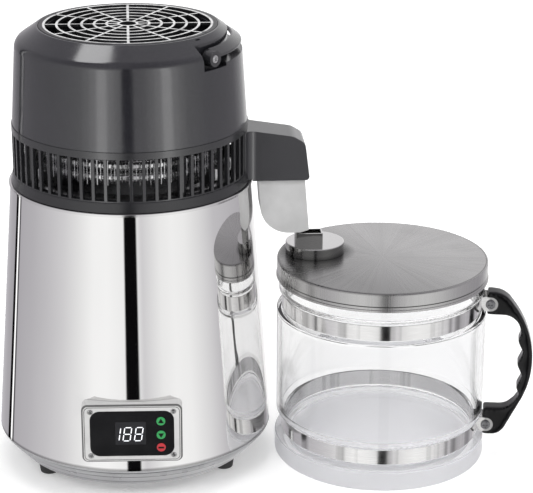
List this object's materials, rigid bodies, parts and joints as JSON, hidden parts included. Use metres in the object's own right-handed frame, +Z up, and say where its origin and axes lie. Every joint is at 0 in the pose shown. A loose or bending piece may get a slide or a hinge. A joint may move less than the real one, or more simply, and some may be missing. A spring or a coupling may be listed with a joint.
{
  "type": "glass water distiller",
  "caption": "Countertop water distiller: polished tapered boiler, fan-cooled dome with side spout and filter nozzle, front key panel, and a lidded glass carafe with a handle under the spout.",
  "frame": {"origin": "on the distiller's vertical axis, on the table that its feet and the carafe stand on", "axes": "+Z up, -Y to the front with the key panel, +X to the spout and the carafe"},
  "size_m": [0.4507, 0.237, 0.3718],
  "materials": {
    "casing_steel": "polished stainless steel, near mirror",
    "tank_steel": "satin stainless steel",
    "lid_steel": "stainless steel, satin top and polished rim",
    "strap_steel": "polished stainless steel",
    "cap_steel": "polished stainless steel",
    "coil_steel": "drawn stainless tube",
    "screw_steel": "bright steel",
    "element_steel": "dark annealed steel sheath",
    "heater_aluminium": "cast aluminium",
    "fin_aluminium": "bright aluminium sheet",
    "dome_plastic": "gloss dark grey plastic with a fine fleck",
    "vent_plastic": "satin dark grey plastic",
    "grille_plastic": "silver grey plastic",
    "base_plastic": "satin mid grey plastic",
    "nozzle_plastic": "satin light grey plastic",
    "handle_plastic": "gloss black plastic",
    "bezel_plastic": "silver plastic",
    "panel_plastic": "gloss black plastic",
    "display_lens": "smoked lens with white figures",
    "green_button": "green plastic, dark triangle",
    "red_button": "red plastic, dark mark",
    "socket_plastic": "black plastic",
    "pin_brass": "plated brass",
    "foot_rubber": "black rubber",
    "seal_silicone": "white silicone",
    "circuit_board": "green circuit board",
    "sensor_steel": "plated steel and phenolic",
    "motor_metal": "painted steel can",
    "bracket_steel": "zinc plated steel",
    "fan_plastic": "black plastic",
    "sachet_cloth": "cloth bag of carbon grains",
    "jar_glass": "clear glass"
  },
  "bodies": {
    "base": {"outer_casing": "casing_steel", "base_ring": "base_plastic", "base_plate": "bracket_steel", "feet": "foot_rubber", "foot_screws": "screw_steel", "boiling_tank": "tank_steel", "heater_plate": "heater_aluminium", "heating_element": "element_steel", "heater_clamp": "bracket_steel", "clamp_fasteners": "screw_steel", "thermostats": "sensor_steel", "thermal_fuse": "sensor_steel", "board_standoffs": "pin_brass", "control_board": "circuit_board", "panel_housing": "bezel_plastic", "panel_face": "panel_plastic", "display_module": "display_lens", "key_board": "circuit_board", "panel_screws": "screw_steel", "power_inlet": "socket_plastic", "inlet_pins": "pin_brass", "inlet_screws": "screw_steel", "fan_outlet": "socket_plastic"},
    "dome": {"dome_cover": "dome_plastic", "vent_ring": "vent_plastic", "dome_band": "dome_plastic", "tank_gasket": "seal_silicone", "dome_pan": "tank_steel", "dome_screws": "screw_steel", "condenser_coil": "coil_steel", "condenser_fins": "fin_aluminium", "coil_brackets": "bracket_steel", "fan_motor": "motor_metal", "motor_screws": "screw_steel", "fan_bracket": "bracket_steel", "bracket_screws": "screw_steel", "fan_grille": "grille_plastic", "grille_screws": "screw_steel", "handle_pivots": "screw_steel", "fan_inlet": "socket_plastic", "spout_housing": "dome_plastic", "filter_nozzle": "nozzle_plastic", "carbon_sachet": "sachet_cloth"},
    "fan": {"fan_rotor": "fan_plastic"},
    "handle": {"carry_handle": "handle_plastic", "handle_bosses": "handle_plastic"},
    "jar": {"glass_jar": "jar_glass", "upper_strap": "strap_steel", "lower_strap": "strap_steel", "carafe_handle": "handle_plastic", "handle_bolts": "screw_steel", "handle_nuts": "screw_steel"},
    "lid": {"jar_lid": "lid_steel", "lid_seal": "seal_silicone"},
    "inlet": {"inlet_cap": "cap_steel", "cap_ring": "seal_silicone"},
    "up_key": {"up_button": "green_button"},
    "down_key": {"down_button": "green_button"},
    "power_key": {"power_button": "red_button"}
  },
  "joints": [
    {"name": "dome_lift", "type": "slide", "parent": "base", "child": "dome", "axis": [0, 0, 1], "range_m": [0, 0.08]},
    {"name": "fan_spin", "type": "hinge", "parent": "dome", "child": "fan", "pos_m": [0, 0, 0.334], "axis": [0, 0, 1], "continuous": true},
    {"name": "carry_handle_fold", "type": "hinge", "parent": "dome", "child": "handle", "pos_m": [0, 0, 0.3564], "axis": [0.7431, -0.6691, 0], "range_deg": [0, 90]},
    {"name": "carafe_pull", "type": "slide", "parent": "base", "child": "jar", "axis": [1, 0, 0], "range_m": [0, 0.12]},
    {"name": "lid_turn", "type": "hinge", "parent": "jar", "child": "lid", "pos_m": [0.2081, -0.0162, 0.17], "axis": [0, 0, 1], "continuous": true},
    {"name": "inlet_turn", "type": "hinge", "parent": "lid", "child": "inlet", "pos_m": [0.15285, 0.00111, 0.178], "axis": [0, 0, 1], "continuous": true},
    {"name": "up_press", "type": "slide", "parent": "base", "child": "up_key", "axis": [0.0288, 0.9996, 0], "range_m": [0, 0.0008], "stiffness_N_per_m": 300, "springref_m": -0.001},
    {"name": "down_press", "type": "slide", "parent": "base", "child": "down_key", "axis": [0.0288, 0.9996, 0], "range_m": [0, 0.0008], "stiffness_N_per_m": 300, "springref_m": -0.001},
    {"name": "power_press", "type": "slide", "parent": "base", "child": "power_key", "axis": [0.0288, 0.9996, 0], "range_m": [0, 0.0008], "stiffness_N_per_m": 300, "springref_m": -0.001}
  ]
}
